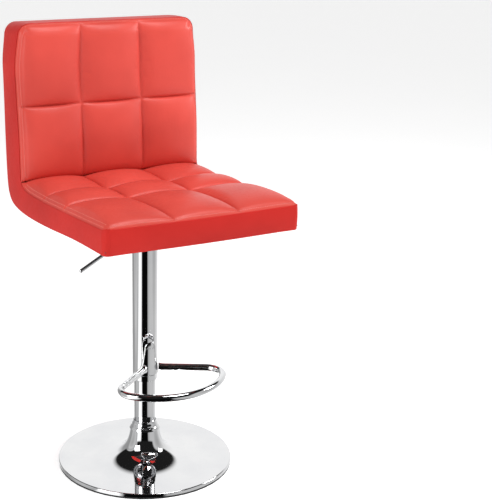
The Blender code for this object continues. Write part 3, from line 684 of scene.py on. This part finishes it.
def rear_crown(run):
    """How far the rear panel's middle stands out: a smooth rise to 7 mm, and down to 1 mm at the top."""
    from_start = np.clip(run / 0.09, 0, 1)
    to_end = np.clip((rear_run[-1] - run) / 0.10, 0, 1)
    return 0.001 + 0.006 * np.sin(from_start * np.pi / 2) * np.sin(to_end * np.pi / 2)


side_share = np.sin(np.linspace(-np.pi / 2, np.pi / 2, 61))
edge_near = (1 - np.abs(side_share)) * half_seat
edge_turn = np.sqrt(np.clip(1 - (1 - np.clip(edge_near / edge, 0, 1)) ** 2, 0, 1))
rear_out = rear_crown(rear_run)[:, None] * (1 - side_share**2) ** 0.8 + rear_depth * (edge_turn - 1)
rear_outside = np.empty((len(rear_line), 61, 3))
rear_outside[..., 0] = rear_half[:, None] * side_share
rear_outside[..., 1:] = rear_line[:, None] + rear_out[..., None] * outward_normal[:, None]
rear_inside = np.empty((len(rear_line), 9, 3))
rear_inside[..., 0] = rear_half[:, None] * np.linspace(0.985, -0.985, 9)
rear_inside[..., 1:] = (rear_line - 0.0042 * outward_normal)[:, None]
rear_sections = np.concatenate([rear_outside, rear_inside], axis=1)
rear_panel = make_piece(
    "rear_panel", *carried(rear_sections), shaded_flat_leather, "seat", "red_leather", ["rear_cover"], 50
)

# ---- Plywood board ------------------------------------------------------------------------------
# The frame of the seat: layers of veneer glued and pressed in one bend, 12 mm thick. The covers are
# stapled to it all round, and the tee nuts sit in it.

made, nodes, links, shader, where = blank("birch_plywood", (0.55, 0.38, 0.22), 0.0, 0.6)
grain_map = nodes.new("ShaderNodeMapping")
grain_map.inputs["Scale"].default_value = (30.0, 1.2, 30.0)
links.new(where, grain_map.inputs["Vector"])
grain = noise_node(nodes, links, grain_map.outputs["Vector"], 6.0, 6.0)
two_tone(nodes, links, shader, grain, (0.40, 0.25, 0.13), (0.66, 0.48, 0.30))
links.new(spread(nodes, links, grain, 0.5, 0.7), shader.inputs["Roughness"])
bump_from(nodes, links, shader, grain, 0.2, 0.0003)

board_normal = line_normals(outer_line)
board_half = half_seat - 0.0100
board_lines = [outer_line - depth * board_normal for depth in (0.0055, 0.0120)]
board_corners = [(1, 0), (-1, 0), (-1, 1), (1, 1)]
keep = (outer_line[:, 0] > front_y + 0.012) | (outer_line[:, 1] > 0.65)
keep &= outer_line[:, 1] < outer_top - top_corner - 0.004
board_sections = np.stack(
    [np.insert(board_lines[layer], 0, side * board_half, axis=1) for side, layer in board_corners], axis=1
)[keep]
make_piece("pressed_board", *carried(board_sections), made, "seat", "plywood", ["plywood_shell"])

# ---- Lining -------------------------------------------------------------------------------------
# Thin black spun-bonded cloth, stapled flat over the underside of the board, so that its edge puckers
# between the staples. The seat plate is bolted through it.

made, nodes, links, shader, where = blank("lining_cloth", (0.014, 0.014, 0.015), 0.0, 0.9)
dimples = nodes.new("ShaderNodeTexVoronoi")
dimples.inputs["Scale"].default_value = 620.0
links.new(where, dimples.inputs["Vector"])
dimple = dimples.outputs["Distance"]
two_tone(nodes, links, shader, dimple, (0.009, 0.009, 0.010), (0.026, 0.026, 0.028))
links.new(spread(nodes, links, dimple, 0.80, 0.97, 0.0, 0.6), shader.inputs["Roughness"])
shader.inputs["Sheen Weight"].default_value = 0.25
bump_from(nodes, links, shader, dimple, 0.4, 0.0002)
lining_low, lining_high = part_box("underside_cover")
lining_gauge = 0.0007
node_gauge = 0.0010
staple_pitch = 0.0300
pucker = 0.0007
lining_rows = np.linspace(lining_low.y, lining_high.y, 131)
lining_columns = np.linspace(-lining_high.x, lining_high.x, 143)
lining_y, lining_x = np.meshgrid(lining_rows, lining_columns, indexing="ij")
to_sides = lining_high.x - np.abs(lining_x)
to_ends = np.minimum(lining_y - lining_low.y, lining_high.y - lining_y)
ripple_along = (1 - np.cos(2 * np.pi * lining_y / staple_pitch)) / 2 * np.exp(-to_sides / 0.014)
ripple_across = (1 - np.cos(2 * np.pi * lining_x / staple_pitch)) / 2 * np.exp(-to_ends / 0.014)
slope = (lining_high.z - node_gauge - lining_low.z) / (lining_high.y - lining_low.y)
lining_z = lining_low.z + slope * (lining_high.y - lining_y)
lining_z = lining_z + pucker * np.maximum(ripple_along, ripple_across)
lining_under = np.stack([lining_x, lining_y, lining_z], axis=-1)
lining_over = lining_under + (0, 0, lining_gauge)
lining_faces = shell_between(lining_under, lining_over)
lining = make_piece("lining", *lining_faces, made, "seat", "black_cloth", ["underside_cover"])

# ---- Seat cushion -------------------------------------------------------------------------------
# Leather over a foam block, pulled down along two sewn lines each way, so that nine pillows stand
# between them. A formula gives the pillows, and a cloth simulation then settles the leather a little.


def ruled(stops, spacing):
    """Grid lines that fall exactly on the stops, with an even number of steps between each two."""
    counts = [2 * round((b - a) / spacing / 2) for a, b in zip(stops, stops[1:])]
    runs = [np.linspace(a, b, n, endpoint=False) for a, b, n in zip(stops, stops[1:], counts)]
    return np.append(np.concatenate(runs), stops[-1]), np.concatenate([[0], np.cumsum(counts)])


def pillows(across, along, lines_across, lines_along, crests, powers):
    """Pillows between sewn lines: crest times (1 - s s) to one power times (1 - t t) to the other, where
    s and t run from -1 to 1 between neighbouring lines, s across and t along."""
    column = np.clip(np.searchsorted(lines_across, across, side="right") - 1, 0, len(lines_across) - 2)
    row = np.clip(np.searchsorted(lines_along, along, side="right") - 1, 0, len(lines_along) - 2)
    lines_across, lines_along = np.asarray(lines_across), np.asarray(lines_along)
    s = 2 * (across - lines_across[column]) / (lines_across[column + 1] - lines_across[column]) - 1
    t = 2 * (along - lines_along[row]) / (lines_along[row + 1] - lines_along[row]) - 1
    round_across, round_along = np.clip(1 - s * s, 0, 1) ** powers[0], np.clip(1 - t * t, 0, 1) ** powers[1]
    return np.asarray(crests)[row, column] * round_across * round_along


def inflate(name, sheet_points, held_rows, held_columns, furthest):
    """Blows a sheet up by cloth simulation with its sewn lines and edges held, so that the leather settles
    by about a millimetre, and no point moves further than the limit."""
    rows, columns = sheet_points.shape[:2]
    held = np.zeros((rows, columns), bool)
    held[held_rows] = True
    held[:, held_columns] = True
    mesh = bpy.data.meshes.new(name)
    mesh.from_pydata(sheet_points.reshape(-1, 3).tolist(), [], grid_faces(rows, columns).tolist())
    blown = bpy.data.objects.new(name, mesh)
    bpy.context.scene.collection.objects.link(blown)
    pins = blown.vertex_groups.new(name="held")
    pins.add(np.flatnonzero(held.ravel()).tolist(), 1.0, "REPLACE")
    cloth = blown.modifiers.new("cloth", "CLOTH")
    cloth.settings.vertex_group_mass = "held"
    cloth.settings.quality = 6
    cloth.settings.mass = 0.05
    cloth.settings.tension_stiffness = 12
    cloth.settings.compression_stiffness = 12
    cloth.settings.shear_stiffness = 4
    cloth.settings.bending_stiffness = 6.0
    cloth.settings.shrink_min = -0.0015
    cloth.settings.use_pressure = True
    cloth.settings.uniform_pressure_force = 4.0
    cloth.settings.effector_weights.gravity = 0.0
    cloth.collision_settings.use_collision = False
    for step in range(1, 21):
        bpy.context.scene.frame_set(step)
    blown_mesh = blown.evaluated_get(bpy.context.evaluated_depsgraph_get()).data
    moved = np.empty(rows * columns * 3)
    blown_mesh.vertices.foreach_get("co", moved)
    bpy.context.scene.frame_set(1)
    bpy.data.objects.remove(blown)
    shift = moved.reshape(sheet_points.shape) - sheet_points
    distance = np.linalg.norm(shift, axis=2, keepdims=True)
    return sheet_points + shift * np.minimum(1, furthest / np.maximum(distance, 1e-9))


def finer(points):
    """Doubles a grid both ways: a new point is (9 (b + c) - a - d) / 16 of its neighbours in line."""
    for _ in range(2):
        ends = np.concatenate([2 * points[:1] - points[1:2], points, 2 * points[-1:] - points[-2:-1]])
        between = (9 * (ends[1:-2] + ends[2:-1]) - ends[:-3] - ends[3:]) / 16
        doubled = np.empty((2 * len(points) - 1, *points.shape[1:]))
        doubled[::2], doubled[1::2] = points, between
        points = np.swapaxes(doubled, 0, 1)
    return points


def pulled_in(inset, rows=(0.0050, 0.0120)):
    """How far rows of stitches pull the leather in: 1.2 mm times exp(-((inset - row) / 1.5 mm) squared)."""
    return sum(0.0012 * np.exp(-(((inset - row) / 0.0015) ** 2)) for row in rows)


def closed_pad(top, drop):
    """Closes a sheet with its border carried down by the drop, and a fan from there to the middle."""
    rows, columns = top.shape[:2]
    border = grid_border(rows, columns)
    skirt = top.reshape(-1, 3)[border] + drop
    below = rows * columns + np.arange(len(border))
    beside, beside_below = np.roll(border, -1), np.roll(below, -1)
    middle = np.full(len(border), rows * columns + len(border))
    faces = grid_faces(rows, columns).tolist()
    faces += np.stack([border, beside, beside_below, below], axis=1).tolist()
    faces += np.stack([below, beside_below, middle], axis=1).tolist()
    return np.concatenate([top.reshape(-1, 3), skirt, skirt.mean(axis=0, keepdims=True)]), faces


def rounded_plan(a, b, a_centre, b_centre):
    """Rounds the square corner beyond a centre: each square ring about the centre becomes a circle."""
    da, db = np.clip(a - a_centre, 0, None), np.clip(b - b_centre, 0, None)
    longest, length = np.maximum(da, db), np.maximum(np.hypot(da, db), 1e-9)
    both = (da > 0) & (db > 0)
    pull = np.where(both, longest / length, 1.0)
    return a - da * (1 - pull), b - db * (1 - pull)


pad_half = half_seat - 0.0012
pad_front = front_y + 0.0012
crease = seam_line[crease_at]
line_across = 0.0717
across_stops = [-pad_half, -line_across, line_across, pad_half]
seat_stops = [pad_front, -0.0650, 0.0400, crease[0]]
grid_step = 0.0038
seat_crests = 0.001 * np.array([[17, 18, 17], [18, 19, 18], [18, 19, 18]])

column_x, held_columns = ruled(across_stops, grid_step)
row_y, held_rows = ruled(seat_stops, grid_step)
pad_y, pad_x = np.meshgrid(row_y, column_x, indexing="ij")
side_in = pad_half - np.abs(pad_x)
front_in = pad_y - pad_front
side_roll = 0.0110 * (1 - np.exp(-side_in / 0.0065))
front_roll = 0.35 + 0.65 * (1 - np.exp(-front_in / 0.030))
lift = side_roll * front_roll * (1 - np.exp(-front_in / 0.004))
seam_height = np.interp(pad_y, seam_line[: crease_at + 1, 0], seam_line[: crease_at + 1, 1])
crease_fall = 1 - np.exp(-(crease[0] - pad_y) / 0.012)
puff = pillows(pad_x, pad_y, across_stops, seat_stops, seat_crests, (0.55, 0.50))
seat_z = seam_height + lift * crease_fall + puff
plan_x, plan_y = rounded_plan(np.abs(pad_x), -pad_y, pad_half - front_corner, -(pad_front + front_corner))
bow_here = bowed_front(plan_x) * np.clip((-0.065 + plan_y) / (-0.065 - pad_front), 0, 1)
seat_sheet = np.stack([np.sign(pad_x) * plan_x, -plan_y - bow_here, seat_z], axis=-1)

seat_sheet = inflate("seat_sheet", seat_sheet, held_rows, held_columns, 0.006)
seat_sheet = finer(seat_sheet)
side_groove = pulled_in(finer(side_in) * 1.3)
front_groove = pulled_in(finer(front_in) * 1.25, (0.0050,))
seat_sheet[..., 2] -= np.maximum(side_groove, front_groove)
seat_pad = make_piece(
    "seat_cushion", *closed_pad(seat_sheet, (0, 0, -0.030)), lit_pad_leather, "seat", "red_leather",
    ["seat_foam", "seat_cover"], 75,
)

# ---- Back cushion -------------------------------------------------------------------------------
# Made like the seat cushion, but thinner, with two rows of taller pillows and deep channels between.

back_foot = crease[1] + 0.0010
back_top = seam_top - 0.0010
back_stops = [back_foot, 0.7840, back_top]
back_crests = 0.001 * np.array([[17, 18, 17], [17, 18, 17]])
row_z, held_rows = ruled(back_stops, grid_step)
pad_z, pad_x = np.meshgrid(row_z, column_x, indexing="ij")
side_in = pad_half - np.abs(pad_x)
top_in = back_top - pad_z
stand = 0.0100 * (1 - np.exp(-side_in / 0.0065)) * (0.3 + 0.7 * (1 - np.exp(-top_in / 0.020)))
stand *= 1 - np.exp(-top_in / 0.004)
seam_depth = np.interp(pad_z, seam_line[crease_at:, 1], seam_line[crease_at:, 0], right=seam_knots[-1, 0])
foot_fall = 1 - np.exp(-(pad_z - back_foot) / 0.010)
puff = pillows(pad_x, pad_z, across_stops, back_stops, back_crests, (0.66, 0.42))
narrowing = half_width(pad_z) - half_seat
plan_x, plan_z = rounded_plan(np.abs(pad_x), pad_z, pad_half - top_corner, back_top - top_corner)
plan_x = plan_x + narrowing * plan_x / pad_half
back_sheet = np.stack([np.sign(pad_x) * plan_x, seam_depth - stand * foot_fall - puff, plan_z], axis=-1)

back_sheet = inflate("back_sheet", back_sheet, held_rows, held_columns, 0.005)
back_sheet = finer(back_sheet)
back_sheet[..., 1] += np.maximum(pulled_in(finer(side_in) * 1.3), pulled_in(finer(top_in) * 1.3, (0.0050,)))
back_pad = make_piece(
    "back_cushion", *closed_pad(back_sheet, (0, 0.012, 0)), lit_pad_leather, "seat", "red_leather",
    ["back_foam", "back_cover"], 75,
)

# ---- Topstitching -------------------------------------------------------------------------------
# Red bonded thread. Two rows follow the seam down each side of both cushions, and one row runs along
# the front of the seat, the top of the back and the edges of the rear panel.

made, nodes, links, shader, where = blank("bonded_thread", (0.78, 0.16, 0.13), 0.0, 0.45)
twist = nodes.new("ShaderNodeTexWave")
twist.bands_direction = "DIAGONAL"
twist.inputs["Scale"].default_value = 500.0
links.new(where, twist.inputs["Vector"])
two_tone(nodes, links, shader, twist.outputs["Fac"], (0.74, 0.13, 0.10), (0.86, 0.27, 0.22))
fuzz = noise_node(nodes, links, where, 500.0)
links.new(spread(nodes, links, fuzz, 0.38, 0.55), shader.inputs["Roughness"])
bump_from(nodes, links, shader, twist.outputs["Fac"], 0.5, 0.0001)
thread = made
stitch_pitch = 0.0042
stitch_length = 0.0033
thread_radius = 0.00055


def sheet_normals(points):
    """Unit normals of a grid: the cross product of its steps along the columns and along the rows."""
    normals = np.cross(np.gradient(points, axis=1), np.gradient(points, axis=0))
    return normals / np.maximum(np.linalg.norm(normals, axis=2, keepdims=True), 1e-12)


def stitches(path, normals):
    """Threads laid end to end on a path: each is a bar of radius r sqrt(1 - t t) that arches over the
    leather by half its radius, with t from -1 to 1 along it."""
    run = np.concatenate([[0], np.cumsum(np.linalg.norm(np.diff(path, axis=0), axis=1))])
    middle = (np.arange(int(run[-1] / stitch_pitch)) + 0.5) * stitch_pitch

    def at(values, place):
        return np.stack([np.interp(place, run, values[:, k]) for k in range(3)], axis=1)

    start, end = at(path, middle - stitch_length / 2), at(path, middle + stitch_length / 2)
    ahead = (end - start) / np.linalg.norm(end - start, axis=1, keepdims=True)
    rise = at(normals, middle)
    aside = np.cross(ahead, rise)
    aside /= np.linalg.norm(aside, axis=1, keepdims=True)
    rise = np.cross(aside, ahead)
    t = np.sin(np.linspace(-np.pi / 2, np.pi / 2, 7))
    angle = np.linspace(0, 2 * np.pi, 6, endpoint=False)
    radius = thread_radius * np.sqrt(1 - t**2)
    arch = thread_radius * (0.9 * (1 - t**2) - 0.4)
    centre = (start + end)[:, None] / 2 + t[:, None] * stitch_length / 2 * ahead[:, None]
    centre = centre + arch[:, None] * rise[:, None]
    ring = np.cos(angle)[:, None] * aside[:, None, None] + np.sin(angle)[:, None] * rise[:, None, None]
    points = centre[:, :, None] + radius[:, None, None] * ring
    one = grid_faces(7, 6, False, True)
    faces = one[None] + 42 * np.arange(len(middle))[:, None, None]
    return points.reshape(-1, 3), faces.reshape(-1, 4)


def stitch_rows(name, rows):
    """Puts several rows of stitches into one piece."""
    points, faces, count = [], [], 0
    for path, normals in rows:
        row_points, row_faces = stitches(path, normals)
        points.append(row_points)
        faces.append(row_faces + count)
        count += len(row_points)
    make_piece(name, np.concatenate(points), np.concatenate(faces).tolist(), thread, "seat", "red_leather")


seat_normals = sheet_normals(seat_sheet)
seat_normals *= np.sign(seat_normals[..., 2:].sum())
back_normals = sheet_normals(back_sheet)
back_normals *= -np.sign(back_normals[..., 1].sum())


def beside_seam(sheet_points, normals, inset, axis):
    """The two lines on a sheet that lie an inset from its sides (axis 1) or from its ends (axis 0)."""
    moved, turned = (np.moveaxis(values, axis, 0) for values in (sheet_points, normals))
    for points, ups in ((moved, turned), (moved[::-1], turned[::-1])):
        step = np.linalg.norm(np.diff(points[:40], axis=0), axis=2)
        run = np.concatenate([np.zeros((1, step.shape[1])), np.cumsum(step, axis=0)])
        place = np.clip((run < inset).sum(axis=0), 1, 39)
        column = np.arange(points.shape[1])
        share = ((inset - run[place - 1, column]) / (run[place, column] - run[place - 1, column]))[:, None]
        line = points[place - 1, column] * (1 - share) + points[place, column] * share
        yield line[6:-6], ups[place, column][6:-6]


double_rows = (0.0050, 0.0120)
seat_rows = [row for inset in double_rows for row in beside_seam(seat_sheet, seat_normals, inset, 1)]
seat_rows.append(next(beside_seam(seat_sheet, seat_normals, 0.0050, 0)))
stitch_rows("seat_topstitch", seat_rows)
back_rows = [row for inset in double_rows for row in beside_seam(back_sheet, back_normals, inset, 1)]
back_rows.append(list(beside_seam(back_sheet, back_normals, 0.0050, 0))[1])
stitch_rows("back_topstitch", back_rows)
rear_normals = sheet_normals(rear_outside)
rear_normals *= np.sign(rear_normals[..., 1].sum())
stitch_rows("rear_topstitch", list(beside_seam(rear_outside, rear_normals, 0.0070, 1)))

# ---- Studio -------------------------------------------------------------------------------------
# A pale floor and soft white light from all round, with one dark strip on the camera's side and a
# dark roof, which chrome reflects as it does in a real studio, and three large soft lamps.

studio = bpy.data.worlds.new("studio")
bpy.context.scene.world = studio
studio.use_nodes = True
nodes, links = studio.node_tree.nodes, studio.node_tree.links
background = nodes["Background"]
direction = nodes.new("ShaderNodeTexCoord").outputs["Generated"]

camera_azimuth = math.radians(-26.79)
sideways = (math.cos(camera_azimuth), math.sin(camera_azimuth), 0.0)
towards_camera = (math.sin(camera_azimuth), -math.cos(camera_azimuth), 0.0)


def along_axis(axis):
    """How far the view direction lies along an axis, from -1 to 1."""
    dot = nodes.new("ShaderNodeVectorMath")
    dot.operation = "DOT_PRODUCT"
    dot.inputs[1].default_value = axis
    links.new(direction, dot.inputs[0])
    return dot.outputs["Value"]


def ramp(source, stops):
    """Grey levels by position; positions run from -1 to 1."""
    mapped = nodes.new("ShaderNodeMapRange")
    mapped.inputs["From Min"].default_value = -1.0
    links.new(source, mapped.inputs["Value"])
    band = nodes.new("ShaderNodeValToRGB")
    elements = band.color_ramp.elements
    while len(elements) < len(stops):
        elements.new(0.5)
    for element, (position, grey) in zip(elements, stops):
        element.position = (position + 1) / 2
        element.color = (grey, grey, grey, 1.0)
    links.new(mapped.outputs["Result"], band.inputs["Fac"])
    return band.outputs["Color"]


near_side = ramp(along_axis(sideways), [
    (-1.00, 0.36), (-0.93, 0.50), (-0.88, 0.40), (-0.84, 0.34), (-0.80, 1.0), (-0.62, 1.0), (-0.50, 0.95),
    (-0.40, 0.002), (0.36, 0.002), (0.44, 0.34), (0.62, 0.46), (0.90, 0.48), (1.00, 0.34),
])
far_side = ramp(along_axis(sideways), [
    (-1.00, 0.36), (-0.90, 0.26), (-0.60, 0.30), (-0.35, 0.78), (0.30, 0.80), (0.80, 0.62), (1.00, 0.38),
])
by_side = nodes.new("ShaderNodeMix")
by_side.data_type = "RGBA"
links.new(ramp(along_axis(towards_camera), [(-0.40, 0.0), (-0.20, 1.0)]), by_side.inputs[0])
links.new(far_side, by_side.inputs[6])
links.new(near_side, by_side.inputs[7])
overhead = nodes.new("ShaderNodeMix")
overhead.data_type = "RGBA"
above = ramp(along_axis((0.0, 0.0, 1.0)), [(0.00, 0.0), (0.06, 1.0)])
roof_slope = 0.68 * np.array(towards_camera) + (0, 0, 1)
roof_slope /= np.linalg.norm(roof_slope)
limits = [
    ramp(along_axis(tuple(roof_slope)), [(0.02, 0.0), (0.08, 1.0)]),
    ramp(along_axis(sideways), [(-0.84, 0.0), (-0.76, 1.0), (0.76, 1.0), (0.84, 0.0)]),
]
for limit in limits:
    both = nodes.new("ShaderNodeMath")
    both.operation = "MULTIPLY"
    links.new(above, both.inputs[0])
    links.new(limit, both.inputs[1])
    above = both.outputs["Value"]
links.new(above, overhead.inputs[0])
links.new(by_side.outputs[2], overhead.inputs[6])
overhead.inputs[7].default_value = (0.01, 0.01, 0.01, 1.0)

reflected = nodes.new("ShaderNodeMix")
reflected.data_type = "RGBA"
light_path = nodes.new("ShaderNodeLightPath")
links.new(light_path.outputs["Is Glossy Ray"], reflected.inputs[0])
reflected.inputs[6].default_value = (0.29, 0.29, 0.29, 1.0)
links.new(overhead.outputs[2], reflected.inputs[7])
backdrop = nodes.new("ShaderNodeMix")
backdrop.data_type = "RGBA"
links.new(light_path.outputs["Is Camera Ray"], backdrop.inputs[0])
links.new(reflected.outputs[2], backdrop.inputs[6])
backdrop.inputs[7].default_value = (0.72, 0.72, 0.72, 1.0)
links.new(backdrop.outputs[2], background.inputs["Color"])
background.inputs["Strength"].default_value = 1.25

floor_size = 60.0
bpy.ops.mesh.primitive_plane_add(size=floor_size)
floor = bpy.context.object
floor.name = "studio_floor"
made, nodes, links, shader, where = blank("floor_paint", (0.90, 0.90, 0.90), 0.0, 0.9)
two_tone(nodes, links, shader, noise_node(nodes, links, where, 2.0), (0.89, 0.89, 0.89), (0.92, 0.92, 0.92))
shader.inputs["Emission Color"].default_value = (1.0, 1.0, 1.0, 1.0)
shader.inputs["Emission Strength"].default_value = 0.56
floor.data.materials.append(made)
floor.visible_glossy = False


def soft_lamp(name, place, target, size, power):
    """A square area lamp at a place, turned towards a target, with its power in watts."""
    light = bpy.data.lights.new(name, "AREA")
    light.shape = "SQUARE"
    light.size = size
    light.energy = power
    lamp = bpy.data.objects.new(name, light)
    lamp.location = place
    aim = np.asarray(target, float) - np.asarray(place, float)
    lamp.rotation_euler = Vector(aim).to_track_quat("-Z", "Y").to_euler()
    bpy.context.scene.collection.objects.link(lamp)


soft_lamp("top_lamp", (0.6, -1.0, 3.0), (0, 0, 0.6), 1.1, 40)
soft_lamp("side_lamp", (2.7, -0.8, 1.9), (0, 0, 0.75), 0.9, 38)
soft_lamp("fill_lamp", (-2.8, -0.8, 1.6), (0, 0, 0.6), 1.6, 34)

camera_data = bpy.data.cameras.new("camera")
camera_data.lens = 85.325
camera_data.shift_x = 0.12
camera = bpy.data.objects.new("camera", camera_data)
camera.location = (-1.0920, -2.1627, 1.2093)
bpy.context.scene.collection.objects.link(camera)
bpy.context.scene.camera = camera
camera.rotation_euler = np.radians([73.4198, -0.5702, -28.697])
bpy.context.scene.view_settings.view_transform = "Standard"
